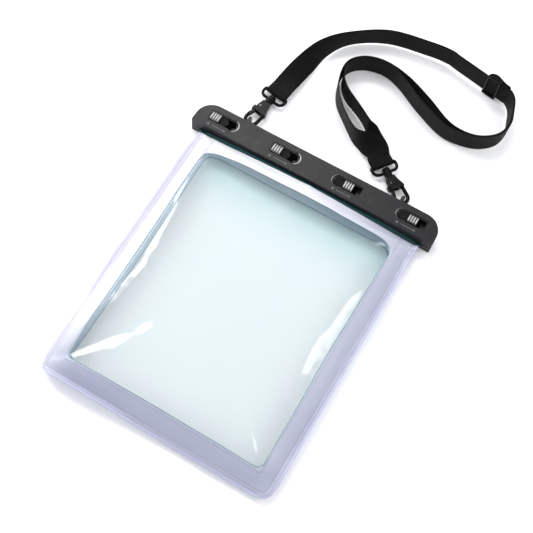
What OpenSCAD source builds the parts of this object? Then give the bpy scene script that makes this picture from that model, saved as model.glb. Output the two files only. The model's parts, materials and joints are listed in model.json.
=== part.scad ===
// Clamp-top waterproof pouch with a shoulder strap, lying flat on its back.
// X runs along the clamp, +Y points from the pouch to the strap, +Z out of the front face.
// The origin is the centre of the back rail's flat back face. All sizes are in millimetres.

/* [Clamp] */
// Length of the clamp bar
bar_l = 234; // [233:1:236]
// Height of the clamp bar, from its pouch edge to its strap edge
bar_h = 23.7; // [23.4:0.1:24.5]
// Thickness of both halves together
bar_t = 16; // [16:0.1:17]
// Radius of the two corners on the strap side
corner_r = 15.8; // [15:0.1:16.5]
// Wall of the front cover
cover_wall = 1.9; // [1.7:0.1:2.1]

/* [Latches] */
// Distance between neighbouring latches
latch_pitch = 61.5; // [61:0.1:62]
// Length of a latch window
window_l = 25; // [24.5:0.1:25.3]
// Height of a latch window
window_h = 9; // [8.8:0.1:9.6]
// Sliding travel of a latch
latch_travel = 7; // [6.5:0.1:7.2]

/* [Pouch] */
// Width of the pouch at the clamp
pouch_w_top = 214; // [210:1:216]
// Width of the pouch at its closed end
pouch_w_end = 206; // [200:1:212]
// Length of the pouch below the clamp
pouch_l = 252; // [245:1:300]
// Thickness of the filled pouch
pouch_t = 26; // [24:1:30]
// Width of the welded border
border_w = 17; // [15:1:19]
// Thickness of the film
film_t = 0.5; // [0.4:0.1:0.5]

/* [Strap] */
// Width of the webbing
web_w = 20; // [18:0.5:20]
// Thickness of the webbing
web_t = 1; // [0.8:0.1:1]
// Distance of both strap ears from the middle of the clamp
ear_x = 76; // [74:1:78]
// Lean of the left hook from straight up towards the middle
hook_left_lean = 9.5; // [5:0.5:12]
// Lean of the right hook from straight up towards the middle
hook_right_lean = 54; // [52:0.5:55]

/* [Hidden] */
$fn = 64;
eps = 0.01;

// Clamp, from the back face up
rail_t = 6;            // back rail under the film hems
land_z = 7.5;          // top of the back rail where no film passes
split_z = 8;           // underside of the front half
inner_t = 2;           // front rail plate
cover_top_t = 2;       // face of the front cover
slider_z = split_z + inner_t + 0.1;
slider_t = 1.9;
inner_top_z = bar_t - cover_top_t;
hem_top_y = -4.2;      // the film hems end below the latch posts
half_h = bar_h / 2;

// Latches: [window centre, side of the round window end]
latch_y = 0.5;
latch_spots = [[-1.5, 1], [-0.5, 1], [0.5, -1], [1.5, -1]];
dish_h = 1.6;
post_offset = 17;      // from the window centre to its latch post
stem_r = 2;
head_r = 3.5;
head_z = slider_z + slider_t + 0.2;
head_t = 1.5;
plate_h = 12;
button_l = 17.1;

// Strap ears and hooks
ear_y = half_h + 8;    // axis of the ear's cross bar
ear_r = 1.6;
hook_z = 4.5;
hook_wire_r = 1.7;
bow_r = 5.7;           // bow centre line
bow_y = 2.25;          // bow centre above the ear's cross bar
pin_y = 17.5;
pin_x = -2.6;
pin_r = 1;
gate_reach = 13.4;     // gate tip's radius about its pin
stub_r = 1.8;
eye_wire_r = 1.4;
eye_base = 29.2;       // base of the eye above the ear's cross bar
eye_bar = 37.5;        // bar that holds the webbing
eye_half_w = 11.6;

// Pouch
mouth_y = -half_h - 0.15;
rim_z = 7;             // plane of the welded rim, level with the clamp's mouth
border_z = 15;         // height of the front film at the border's inner edge
crown_inset = 50;      // where the front film reaches its full height
rim_w = 5;
corner_end_r = 11;

// Strap
wrap_r = eye_wire_r + 0.15 + web_t / 2;
straight_from = [60, 170.5];   // start of the straight stretch, where the adjuster slides
straight_lean = 11;
straight_z = 13;
slider_spot = 36;      // adjuster's middle along the straight stretch
lay_gap = 0.1;         // clearance between layers of webbing
layer = web_t + lay_gap;
adjuster_l = 19;
loop_r = 1.1 + web_t / 2;

// ---- Clamp ----

module bar_outline(inset = 0) {
    r = corner_r - inset;
    x = bar_l / 2 - corner_r;
    y = half_h - corner_r;
    intersection() {
        union() {
            for (side = [-1, 1]) translate([side * x, y]) circle(r);
            translate([-x, y]) square([2 * x, r]);
            translate([-x - r, y - bar_h]) square([2 * (x + r), bar_h]);
        }
        translate([-bar_l, -half_h + inset]) square([2 * bar_l, bar_h]);
    }
}

module at_latches() {
    for (spot = latch_spots) translate([spot[0] * latch_pitch, latch_y, 0]) scale([spot[1], 1, 1]) children();
}

// Window with a square end and a round end, grown outward by a margin
module window_outline(grow = 0) {
    r = window_h / 2 + grow;
    translate([-window_l / 2 - grow, -r]) square([window_l + 2 * grow - r, 2 * r]);
    translate([window_l / 2 + grow - r, 0]) circle(r);
}

module ear() {
    leg_t = 1.9;
    root_t = 1.5;
    slack = 0.25;
    translate([0, ear_y, 0]) cylinder(r = ear_r, h = 2 * hook_z);
    for (z = [0, 2 * hook_z - leg_t]) translate([-ear_r, half_h + slack, z])
        cube([2 * ear_r, ear_y - half_h - slack, leg_t]);
    // Root that carries the upper leg on the rail, clear of the front cover
    translate([-ear_r - 1, half_h - eps, 0]) cube([2 * ear_r + 2, root_t, land_z]);
    translate([-ear_r - 1, half_h + slack, 0]) cube([2 * ear_r + 2, root_t - slack, 2 * hook_z]);
}

module back_rail() color("#2b2b2d") {
    difference() {
        union() {
            linear_extrude(rail_t) bar_outline();
            linear_extrude(land_z) intersection() {
                bar_outline();
                union() {
                    translate([-bar_l, hem_top_y + 0.4]) square([2 * bar_l, bar_h]);
                    for (side = [-1, 1]) translate([side * bar_l / 2 - 7, -bar_h]) square([14, 2 * bar_h]);
                }
            }
        }
        // Cored pockets between the posts keep the wall even
        for (x = [-4:4]) translate([x * 22 - 9, latch_y + head_r + 1, 2]) cube([18, 4.5, land_z]);
    }
    for (spot = latch_spots) translate([spot[0] * latch_pitch + spot[1] * post_offset, latch_y, 0]) {
        translate([0, 0, rail_t]) cylinder(r = stem_r, h = head_z - rail_t + eps);
        translate([0, 0, head_z]) cylinder(r = head_r, h = head_t);
    }
    for (side = [-1, 1]) translate([side * ear_x, 0, 0]) ear();
}

module front_cover() color("#333335") {
    difference() {
        translate([0, 0, split_z]) linear_extrude(bar_t - split_z) bar_outline();
        translate([0, 0, split_z - 1]) linear_extrude(inner_top_z - split_z + 1) bar_outline(cover_wall);
        at_latches() {
            translate([0, 0, split_z]) linear_extrude(bar_t) window_outline();
            translate([0, 0, bar_t - 0.7]) linear_extrude(1) window_outline(0.8);
            // Finger dish beyond the round end
            translate([window_l / 2 - window_h / 2 + 0.9, 0, bar_t - dish_h])
                cylinder(r1 = window_h / 2 - 0.8, r2 = window_h / 2 + 1.5, h = dish_h + eps);
        }
    }
    // Ribs that hold the latch plates down
    rib_z = slider_z + slider_t + 0.15;
    translate([0, 0, rib_z]) linear_extrude(inner_top_z - rib_z + eps) intersection() {
        bar_outline(cover_wall - eps);
        at_latches() for (side = [-1, 1]) translate([-15, side * 5.4 - 0.7]) square([36, 1.4]);
    }
}

module front_rail() color("#252527") {
    difference() {
        translate([0, 0, split_z]) linear_extrude(inner_t) bar_outline(cover_wall + 0.2);
        at_latches() translate([post_offset, 0, 0]) cylinder(r = head_r + 0.6, h = bar_t);
    }
    // Guides on both sides of each latch plate
    translate([0, 0, split_z + inner_t - eps]) linear_extrude(slider_t) intersection() {
        bar_outline(cover_wall + 0.2);
        at_latches() for (side = [-1, 1])
            translate([-15, side * (plate_h / 2 + 0.75) - 0.6]) square([36, 1.2]);
    }
}

module seal_gasket() color("#4d5a60") {
    base_z = rail_t + film_t;
    bead_r = 0.5;
    translate([-pouch_w_top / 2, -10.4, base_z]) cube([pouch_w_top, 5.2, 0.4]);
    for (y = [-9.3, -6.3]) translate([-pouch_w_top / 2, y, base_z + bead_r]) rotate([0, 90, 0])
        cylinder(r = bead_r, h = pouch_w_top);
}

// Latch plate with a keyhole, a ribbed thumb block and a low tongue.
// dir is the side of the window's round end.
module latch_slider(dir) {
    left = -window_l / 2 + 0.4;
    block_l = 8.7;
    tongue_l = button_l - block_l;
    block_x = dir > 0 ? left : left + tongue_l;
    tongue_x = dir > 0 ? left + block_l : left;
    plate_x = dir > 0 ? -14 : -post_offset - 11.8;
    plate_l = dir > 0 ? 14 + post_offset + 5.9 : post_offset + 11.8 + 8;
    btn_h = window_h - 0.8;
    top_z = slider_z + slider_t - eps;
    hole_x = dir * post_offset;
    difference() {
        translate([plate_x, -plate_h / 2, slider_z]) cube([plate_l, plate_h, slider_t]);
        translate([hole_x, 0, 0]) cylinder(r = head_r + 0.4, h = bar_t);
        translate([hole_x - latch_travel, 0, 0]) cylinder(r = stem_r + 0.3, h = bar_t);
        translate([hole_x - latch_travel, -stem_r - 0.3, 0]) cube([latch_travel, 2 * stem_r + 0.6, bar_t]);
    }
    // Low tongue with a rounded tip
    translate([0, 0, top_z]) linear_extrude(bar_t - 1.4 - top_z) {
        tip_x = dir > 0 ? tongue_x + tongue_l - btn_h / 2 : tongue_x + btn_h / 2;
        translate([tip_x, 0]) circle(btn_h / 2);
        translate([min(tip_x, block_x + eps), -btn_h / 2]) square([abs(tip_x - block_x), btn_h]);
    }
    // Thumb block with grip grooves
    difference() {
        translate([block_x, -btn_h / 2, top_z]) cube([block_l, btn_h, bar_t + 0.5 - top_z]);
        for (i = [0:2]) translate([block_x + 1.7 + i * 2.2, -btn_h, bar_t - 0.3]) cube([0.9, 2 * btn_h, 2]);
    }
}

module latch_at(index) {
    spot = latch_spots[index];
    color("#1c1c1e") translate([spot[0] * latch_pitch, latch_y, 0]) latch_slider(spot[1]);
}

// ---- Pouch ----

// Outline of the pouch in its own plane, set back from the edge by inset
module pouch_outline(inset) {
    r = max(corner_end_r - inset, 5);
    end_y = -half_h - pouch_l + inset + r;
    hull() {
        for (side = [-1, 1]) {
            translate([side * (pouch_w_end / 2 - inset - r), end_y]) circle(r, $fn = 32);
            translate([side * (pouch_w_top / 2 - inset) - 0.5, mouth_y - inset - 1]) square(1);
        }
    }
}

// Sheet that climbs from one inset and height to another, closed over its middle
module sheet_dome(inset_a, z_a, inset_b, z_b) {
    difference() {
        frustum(inset_a, z_a, inset_b, z_b, film_t);
        translate([0, 0, -film_t * sign(z_b - z_a)]) frustum(inset_a, z_a, inset_b, z_b, film_t);
    }
}

// The same sheet, open inside the second inset
module sheet_ring(inset_a, z_a, inset_b, z_b) {
    difference() {
        sheet_dome(inset_a, z_a, inset_b, z_b);
        translate([0, 0, min(z_a, z_b) - 2]) linear_extrude(abs(z_b - z_a) + 6) pouch_outline(inset_b);
    }
}

module frustum(inset_a, z_a, inset_b, z_b, thick) {
    hull() {
        translate([0, 0, z_a]) linear_extrude(thick) pouch_outline(inset_a);
        translate([0, 0, z_b]) linear_extrude(thick) pouch_outline(inset_b);
    }
}

module rim(z) {
    translate([0, 0, z]) linear_extrude(film_t) difference() {
        pouch_outline(0);
        pouch_outline(rim_w);
    }
}

module front_border() color("#dfe0f2") {
    rim(rim_z);
    sheet_ring(rim_w - eps, rim_z, border_w, border_z);
}

module front_window() color("#cfe9ee", 0.35) sheet_dome(border_w, border_z, crown_inset, pouch_t);

module back_border() color("#d5d8ee") {
    rim(rim_z - film_t);
    sheet_ring(rim_w - eps, rim_z - film_t, border_w, 0);
}

module back_window() color("#cfe9ee", 0.35) {
    linear_extrude(film_t) pouch_outline(border_w);
}

module hem(z) {
    translate([-pouch_w_top / 2, -half_h, z]) cube([pouch_w_top, half_h + hem_top_y, film_t - 0.05]);
}

module front_hem() color("#8fb9bd") hem(split_z - film_t + 0.05);
module back_hem() color("#8fb9bd") hem(rail_t);

// ---- Hooks ----
// Each hook is drawn with its ear's cross bar at the origin and its axis along +Y.

module place_hook(side) {
    lean = side < 0 ? -hook_left_lean : hook_right_lean;
    translate([side * ear_x, ear_y, hook_z]) rotate([0, 0, lean]) children();
}

module along_y(y, r, h) {
    translate([0, y, 0]) rotate([-90, 0, 0]) cylinder(r = r, h = h);
}

module hook_body() {
    shank = [[-5.2, 11], [7.2, 11], [7.4, 12.5], [4.6, 20], [3.8, 24], [-3.8, 24], [-4.6, 20], [-5.2, 17]];
    difference() {
        union() {
            translate([0, bow_y, 0]) rotate([0, 0, 180]) rotate_extrude(angle = 180)
                translate([bow_r, 0]) circle(hook_wire_r);
            translate([bow_r, 0, 0]) along_y(bow_y - eps, hook_wire_r, 10);
            translate([-bow_r, 0, 0]) along_y(bow_y - eps, hook_wire_r, 3);
            translate([0, 0, -2.7]) linear_extrude(5.4) polygon(shank);
        }
        // Slot that the gate swings in, the gate pin's hole, and the arc that the gate's tip sweeps
        translate([-8, 9, -1.9]) cube([10, 12, 3.8]);
        translate([pin_x, pin_y, -4]) cylinder(r = pin_r, h = 8);
        intersection() {
            translate([pin_x, pin_y, -4]) cylinder(r = gate_reach + 0.25, h = 8);
            translate([-12, bow_y, -4]) cube([12, 9, 8]);
        }
    }
    along_y(24 - eps, 3.5, 2.5);
    along_y(26, stub_r, 5.8);
    along_y(31.6, 3.2, 1.4);
}

module hook_gate() {
    arm_w = 2.8;
    arm_t = 3.4;
    tilt = atan2(bow_r + pin_x, pin_y - bow_y - 2);
    translate([pin_x, pin_y, -arm_t / 2]) linear_extrude(arm_t) difference() {
        union() {
            intersection() {
                rotate(-tilt) translate([-arm_w / 2, -gate_reach - 2]) square([arm_w, gate_reach + 2]);
                circle(gate_reach);
            }
            circle(2.3);
            // Thumb tab outside the hook
            translate([-4.8, -6.3]) square([3.6, 4.4]);
        }
        circle(pin_r + 0.05);
    }
}

module hook_pin() {
    translate([pin_x, pin_y, -2.7]) cylinder(r = pin_r, h = 5.4);
}

module eye_corner(x, y, r, turn) {
    translate([x, y, 0]) rotate([0, 0, turn]) rotate_extrude(angle = 90) translate([r, 0]) circle(eye_wire_r);
}

module hook_eye() {
    low_r = 4.6;
    high_r = 1.5;
    low_x = eye_half_w - low_r;
    high_x = eye_half_w - high_r;
    difference() {
        union() {
            translate([-low_x, eye_base, 0]) rotate([0, 90, 0]) cylinder(r = eye_wire_r, h = 2 * low_x);
            translate([-high_x, eye_bar, 0]) rotate([0, 90, 0]) cylinder(r = eye_wire_r, h = 2 * high_x);
            eye_corner(low_x, eye_base + low_r, low_r, 270);
            eye_corner(-low_x, eye_base + low_r, low_r, 180);
            eye_corner(high_x, eye_bar - high_r, high_r, 0);
            eye_corner(-high_x, eye_bar - high_r, high_r, 90);
            for (side = [-1, 1]) translate([side * eye_half_w, 0, 0])
                along_y(eye_base + low_r - eps, eye_wire_r, eye_bar - high_r - eye_base - low_r + 2 * eps);
            along_y(26.7, 3.8, 4.7);
        }
        along_y(26, stub_r + 0.05, 6);
    }
}

// ---- Strap ----

function unit(v) = v / norm(v);
function hook_dir(side) = side < 0 ? [sin(hook_left_lean), cos(hook_left_lean)]
                                   : [-sin(hook_right_lean), cos(hook_right_lean)];
function bar_spot(side, along) = [side * ear_x, ear_y] + (eye_bar + along) * hook_dir(side);

// One waypoint is [x, y, z, turn], where turn is 0 for webbing that lies flat and 90 on its edge
function way(p, z, turn) = [p[0], p[1], z, turn];
straight_dir = [cos(straight_lean), -sin(straight_lean)];
straight_out = [sin(straight_lean), cos(straight_lean)];
function on_straight(along, out = 0) = straight_from + along * straight_dir + out * straight_out;
flat_z = hook_z + wrap_r;
edge_z = web_w / 2 + 0.9;
run_out = [
    way(bar_spot(-1, 0), flat_z, 0), way(bar_spot(-1, 12), flat_z, 0),
    [-63, 95, 8.5, 30], [-56, 121, 10.4, 65], [-40, 144, edge_z, 90], [-10, 164, 11.5, 90],
    [28, 171.5, 12.4, 90], way(on_straight(-12), straight_z, 90), way(on_straight(0), straight_z, 90),
    way(on_straight(50), straight_z, 90), way(on_straight(53), straight_z, 90)
];
run_back = [
    [118, 154, straight_z, 90], [122, 143, 12.5, 90], [125, 129, 12, 90], [120, 113, 11.5, 90],
    [103, 102, edge_z, 90], [80, 102, edge_z, 90], [52, 116, edge_z, 90], [26, 127, edge_z, 90],
    [2, 131, edge_z, 90], [-17, 126, edge_z, 90], [-28, 113, edge_z, 90], [-27, 95, edge_z, 90],
    [-19, 78, 11, 90], [-4, 63, 11, 93], [11, 52, 11, 86], [23, 50.5, 10.6, 56],
    way(bar_spot(1, 14), 7.8, 18), way(bar_spot(1, 7), flat_z, 0), way(bar_spot(1, 0), flat_z, 0)
];
main_ways = concat(run_out, run_back);
steps = 5;

function spline(p, i, t) =
    let (a = p[max(i - 1, 0)], b = p[i], c = p[i + 1], d = p[min(i + 2, len(p) - 1)])
    b + 0.5 * ((c - a) * t + (2 * a - 5 * b + 4 * c - d) * pow(t, 2) + (3 * b - a - 3 * c + d) * pow(t, 3));
function smooth(p) = concat(
    [for (i = [0:len(p) - 2], k = [0:steps - 1]) spline(p, i, k / steps)], [p[len(p) - 1]]
);

main_line = smooth(main_ways);
function xyz(p) = [p[0], p[1], p[2]];
function tangent(line, i) = unit(xyz(line[min(i + 1, len(line) - 1)]) - xyz(line[max(i - 1, 0)]));
function width_dir(line, i) =
    let (t = tangent(line, i), left = unit([-t[1], t[0], 0]))
    cos(line[i][3]) * left + sin(line[i][3]) * cross(t, left);

// A section is [centre, width direction, normal]
function section(line, i) =
    let (t = tangent(line, i), w = width_dir(line, i)) [xyz(line[i]), w, unit(cross(t, w))];
function shift(s, by) = [s[0] + by * s[2], s[1], s[2]];

main_sections = [for (i = [0:len(main_line) - 1]) section(main_line, i)];
back_start = len(run_out) * steps;
last = len(main_sections) - 1;

// The returning layer lies beside the main one, and hangs apart from it in two places
function spread(i) = let (f = max(0, (i - last + 6 * steps) / (6 * steps)))
    layer + (2 * wrap_r - layer) * pow(f, 2);
function hump(i, from, to) = i > from && i < to ? pow(sin(180 * (i - from) / (to - from)), 2) : 0;
function apart(i) = let (
        t = tangent(main_line, i),
        by = 6 * hump(i, back_start + 4 * steps, back_start + 8 * steps)
            + 15 * hump(i, last - 8 * steps, last - steps)
    ) by * unit([-t[1], t[0], 0]);
returning = [
    for (i = [last:-1:back_start - steps + 1])
    let (s = shift(main_sections[i], -spread(i))) [s[0] + apart(i), s[1], s[2]]
];
function straight_section(along, out) = let (p = on_straight(along, out), n = straight_out)
    [[p[0], p[1], straight_z], [0, 0, 1], [-n[0], -n[1], 0]];
return_start = [for (along = [45, 39, slider_spot + 1]) straight_section(along, layer)];

// Half turn round a bar: from one section to the far side, seen from the end of the bar
function half_turn(centre, dir, width, from, to) = [
    for (k = [1:7]) let (a = from + (to - from) * k / 8, n = cos(a) * [0, 0, 1] + sin(a) * dir)
    [centre + wrap_r * n, width, n]
];
function eye_turn(side, width, from, to) =
    let (b = bar_spot(side, 0), d = hook_dir(side))
    half_turn([b[0], b[1], hook_z], [d[0], d[1], 0], width, from, to);

left_dir = hook_dir(-1);
left_width = [-left_dir[1], left_dir[0], 0];
// Folded end of the webbing sewn under the first stretch
left_tail = [for (s = [[20, layer], [10, layer + 0.2], [5, 2.4], [0, 2 * wrap_r]])
    let (b = bar_spot(-1, s[0])) [[b[0], b[1], flat_z - s[1]], left_width, [0, 0, 1]]];

function flip_normal(s) = [s[0], s[1], -s[2]];
webbing_sections = concat(
    left_tail,
    [for (s = eye_turn(-1, left_width, -180, 0)) flip_normal(s)],
    main_sections,
    eye_turn(1, main_sections[last][1], 0, -180),
    returning,
    return_start
);

// Solid swept through the sections
module ribbon(sections) {
    half_w = web_w / 2;
    half_t = web_t / 2;
    corners = [[-1, -1], [1, -1], [1, 1], [-1, 1]];
    count = len(sections);
    points = [
        for (i = [0:count - 1], c = corners)
        let (ahead = unit(sections[min(i + 1, count - 1)][0] - sections[max(i - 1, 0)][0]),
            n = unit(cross(ahead, sections[i][1])))
        sections[i][0] + c[0] * half_w * sections[i][1] + c[1] * half_t * n
    ];
    sides = [
        for (i = [0:count - 2], c = [0:3]) let (a = 4 * i + c, b = 4 * i + (c + 1) % 4) each
        [[a, a + 4, b + 4], [a, b + 4, b]]
    ];
    end = 4 * (count - 1);
    caps = [[0, 1, 2], [0, 2, 3], [end, end + 2, end + 1], [end, end + 3, end + 2]];
    polyhedron(points, concat(caps, sides));
}

module strap_webbing() color("#1a1a1b") ribbon(webbing_sections);

// End of the webbing, folded round the adjuster's middle bar and sewn to itself
loop_path = concat(
    [[16, 0], [9, 0], [0, 0]],
    [for (k = [1:7]) let (a = 180 * k / 8) [-loop_r * sin(a), loop_r * (1 - cos(a))]],
    [[0, 2 * loop_r], [4, 2 * loop_r - 0.4], [9, layer + 0.3], [12, layer], [15, layer]]
);

module strap_end_loop() color("#1a1a1b")
    ribbon([for (p = loop_path) straight_section(slider_spot + p[0], 2 * layer + p[1])]);

// Tri-glide adjuster: two outer bars under the webbing, one raised bar for the sewn loop
module strap_slider() color("#202022") {
    inner_h = web_w / 2 + 0.4;
    rail_h = 2.2;
    outer_r = 0.9;
    outer_y = -web_t / 2 - lay_gap - outer_r;
    middle_y = 2 * layer + loop_r;
    full_h = 2 * (inner_h + rail_h);
    at = on_straight(slider_spot);
    translate([at[0], at[1], straight_z]) rotate([0, 0, -straight_lean]) {
        for (x = [-1, 1]) translate([x * (adjuster_l / 2 - outer_r), outer_y, -full_h / 2])
            cylinder(r = outer_r, h = full_h);
        translate([0, middle_y, -full_h / 2]) cylinder(r = 1, h = full_h);
        for (z = [-inner_h - rail_h, inner_h]) translate([-adjuster_l / 2 + outer_r, outer_y - outer_r, z])
            cube([adjuster_l - 2 * outer_r, middle_y - outer_y + outer_r + 1, rail_h]);
    }
}

// ---- Placed hook pieces ----

module hook_left_body() color("#1b1b1c") place_hook(-1) hook_body();
module hook_left_gate() color("#232325") place_hook(-1) hook_gate();
module hook_left_pin() color("#8a8a8c") place_hook(-1) hook_pin();
module hook_left_eye() color("#1b1b1c") place_hook(-1) hook_eye();
module hook_right_body() color("#1b1b1c") place_hook(1) hook_body();
module hook_right_gate() color("#232325") place_hook(1) hook_gate();
module hook_right_pin() color("#8a8a8c") place_hook(1) hook_pin();
module hook_right_eye() color("#1b1b1c") place_hook(1) hook_eye();

back_rail();
front_cover();
front_rail();
seal_gasket();
latch_at(0);  // latch_slider_1
latch_at(1);  // latch_slider_2
latch_at(2);  // latch_slider_3
latch_at(3);  // latch_slider_4
front_hem();
back_hem();
front_border();
front_window();
back_border();
back_window();
strap_webbing();
strap_end_loop();
strap_slider();
hook_left_body();
hook_left_gate();
hook_left_pin();
hook_left_eye();
hook_right_body();
hook_right_gate();
hook_right_pin();
hook_right_eye();
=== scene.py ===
"""Looks of a clamp-top waterproof pouch: inflated clear film, milky welded border, moulded clamp,
woven strap and snap hooks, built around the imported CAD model. Shapes are worked out in millimetres
and scaled by MM, and the studio is in metres."""

import json
import math

import bmesh
import bpy
import numpy as np
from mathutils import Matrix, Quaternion, Vector, noise


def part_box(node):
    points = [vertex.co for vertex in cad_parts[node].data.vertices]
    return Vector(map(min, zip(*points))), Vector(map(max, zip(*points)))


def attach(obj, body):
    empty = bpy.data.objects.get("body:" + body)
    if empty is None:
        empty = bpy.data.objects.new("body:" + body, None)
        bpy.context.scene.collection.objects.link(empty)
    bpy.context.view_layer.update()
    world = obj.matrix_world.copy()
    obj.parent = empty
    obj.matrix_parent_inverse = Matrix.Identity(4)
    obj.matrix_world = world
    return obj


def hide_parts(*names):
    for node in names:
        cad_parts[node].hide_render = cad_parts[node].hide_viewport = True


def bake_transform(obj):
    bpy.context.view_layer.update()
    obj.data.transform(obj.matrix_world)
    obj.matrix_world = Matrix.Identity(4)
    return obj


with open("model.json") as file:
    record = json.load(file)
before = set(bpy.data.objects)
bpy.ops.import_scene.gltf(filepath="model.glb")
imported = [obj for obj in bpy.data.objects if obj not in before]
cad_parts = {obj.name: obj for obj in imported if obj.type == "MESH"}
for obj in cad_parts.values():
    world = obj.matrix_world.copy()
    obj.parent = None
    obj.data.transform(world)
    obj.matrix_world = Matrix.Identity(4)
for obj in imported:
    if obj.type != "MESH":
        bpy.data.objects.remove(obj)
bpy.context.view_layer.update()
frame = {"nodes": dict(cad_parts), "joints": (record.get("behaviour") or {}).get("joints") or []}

MM = 0.001


def box_mm(node):
    """A CAD node's lowest and highest corners in millimetres."""
    low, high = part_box(node)
    return np.array(low) / MM, np.array(high) / MM


def joint_axis(name):
    """Place (mm) and direction of a hinge from the record."""
    joint = next(j for j in frame["joints"] if j["name"] == name)
    return np.array(joint["pos_m"]) / MM, np.array(joint["axis"])


# ---------------------------------------------------------------- measures (mm)

COVER_TOP = box_mm("front_cover")[1][2]   # height of the cover's face
BORDER_LOW, BORDER_HIGH = box_mm("front_border")
WINDOW_LOW, WINDOW_HIGH = box_mm("front_window")

HALF_MOUTH = BORDER_HIGH[0]            # half width of the pouch at the clamp
HALF_END = 103.0                       # half width at the closed end
MOUTH_Y = BORDER_HIGH[1]
END_Y = BORDER_LOW[1]
RIM_Z = BORDER_LOW[2]
CROWN_Z = WINDOW_HIGH[2]
BORDER_W = WINDOW_LOW[1] - END_Y       # welded border, and the window starts inside it
RIM_W = 5.0                            # outer weld, where both films are one
CORNER_R = 11.0                        # pouch's corners at the closed end
WINDOW_R = 10.0                        # window's corners by the clamp
WINDOW_END_R = 3.0                     # window's corners by the closed end
ROUNDING_BAND = 7.0                    # how far from the window's outline the grid is drawn in round
FILM_T = 0.45
BEAD_R = 0.38                          # dark weld line round each window
CELL = 4.0                             # grid of the film meshes
# The lip is the film's own teal, made darker as painted shade of the gap under the cover.
LIP = 3.4                              # dark strip of film in the clamp's mouth
EDGE_BANDS = [0.0, LIP / 2, LIP, RIM_W, 8.0, 11.0, 14.0, BORDER_W]   # grid rows along each edge
START_SWELL, SWELL_BAND = 3.0, 30.0    # films' height before they are inflated, and where it is reached
MOUTH_GAP, MOUTH_BAND = 0.75, 20.0     # extra gap between the films at the clamp, and where it ends
CLOTH_FRAMES = 30
REST_Z = 0.9                           # lowest height of the back film above the floor
MAX_DRIFT = 3.0                        # cap on the films' sideways movement


# ---------------------------------------------------------------- materials


class Shader:
    """Builds one material's node tree. A value that is a socket is linked, any other is set."""

    def __init__(self, name):
        self.material = bpy.data.materials.new(name)
        self.material.use_nodes = True
        self.tree = self.material.node_tree
        self.tree.nodes.clear()
        self.output = self.tree.nodes.new("ShaderNodeOutputMaterial")

    def add(self, kind, values=None, **settings):
        node = self.tree.nodes.new("ShaderNode" + kind)
        for key, value in settings.items():
            setattr(node, key, value)
        for key, value in (values or {}).items():
            if isinstance(value, bpy.types.NodeSocket):
                self.tree.links.new(value, node.inputs[key])
            else:
                node.inputs[key].default_value = value
        return node

    def math(self, operation, a, b=0.0, c=0.0):
        return self.add("Math", {0: a, 1: b, 2: c}, operation=operation).outputs[0]

    def noise(self, where, scale, detail=3.0, rough=0.55):
        values = {"Vector": where, "Scale": scale, "Detail": detail, "Roughness": rough}
        return self.add("TexNoise", values).outputs["Fac"]

    def where(self):
        """Place on the object, in metres."""
        return self.add("TexCoord").outputs["Object"]

    def ramp(self, value, start, stop, low=0.0, high=1.0):
        """Maps start..stop to low..high, and holds both ends."""
        ends = {"From Min": start, "From Max": stop, "To Min": low, "To Max": high}
        return self.add("MapRange", {"Value": value, **ends}).outputs[0]

    def spread(self, value, low, high):
        """Maps 0..1 to low..high."""
        return self.ramp(value, 0.0, 1.0, low, high)

    def mix(self, factor, a, b):
        node = self.add("Mix", {0: factor, 6: a, 7: b}, data_type="RGBA")
        return node.outputs[2]

    def bump(self, height, distance):
        values = {"Height": height, "Distance": distance, "Strength": 1.0}
        return self.add("Bump", values).outputs["Normal"]

    def finish(self, shader):
        self.tree.links.new(shader, self.output.inputs["Surface"])
        return self.material


def rgb(r, g, b):
    return (r, g, b, 1.0)


def tinted(colour, r, g, b):
    """The colour with each channel multiplied by a factor of its own."""
    return rgb(colour[0] * r, colour[1] * g, colour[2] * b)


def shaded(colour, factor):
    return tinted(colour, factor, factor, factor)


def moulded(name, colour, roughness, grain=0.03, coat=0.0, worn=0.25, shine=0.5):
    """Moulded plastic: fine spark-eroded grain, uneven sheen and slightly paler rubbed patches."""
    s = Shader(name)
    where = s.where()
    fine = s.noise(where, 2600.0, 2.0)
    cloudy = s.noise(where, 60.0, 4.0)
    rubbed = s.noise(where, 220.0, 5.0, 0.7)
    pale = rgb(*(c + worn * 0.06 for c in colour[:3]))
    body = s.add("BsdfPrincipled", {
        "Base Color": s.mix(s.math("MULTIPLY", s.ramp(rubbed, 0.52, 0.75), 0.7), colour, pale),
        "Roughness": s.math("ADD", s.spread(cloudy, -0.07, 0.07), roughness), "IOR": 1.5,
        "Coat Weight": coat, "Coat Roughness": 0.15, "Specular IOR Level": shine,
        "Normal": s.bump(fine, grain * MM),
    })
    return s.finish(body.outputs[0])


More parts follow.
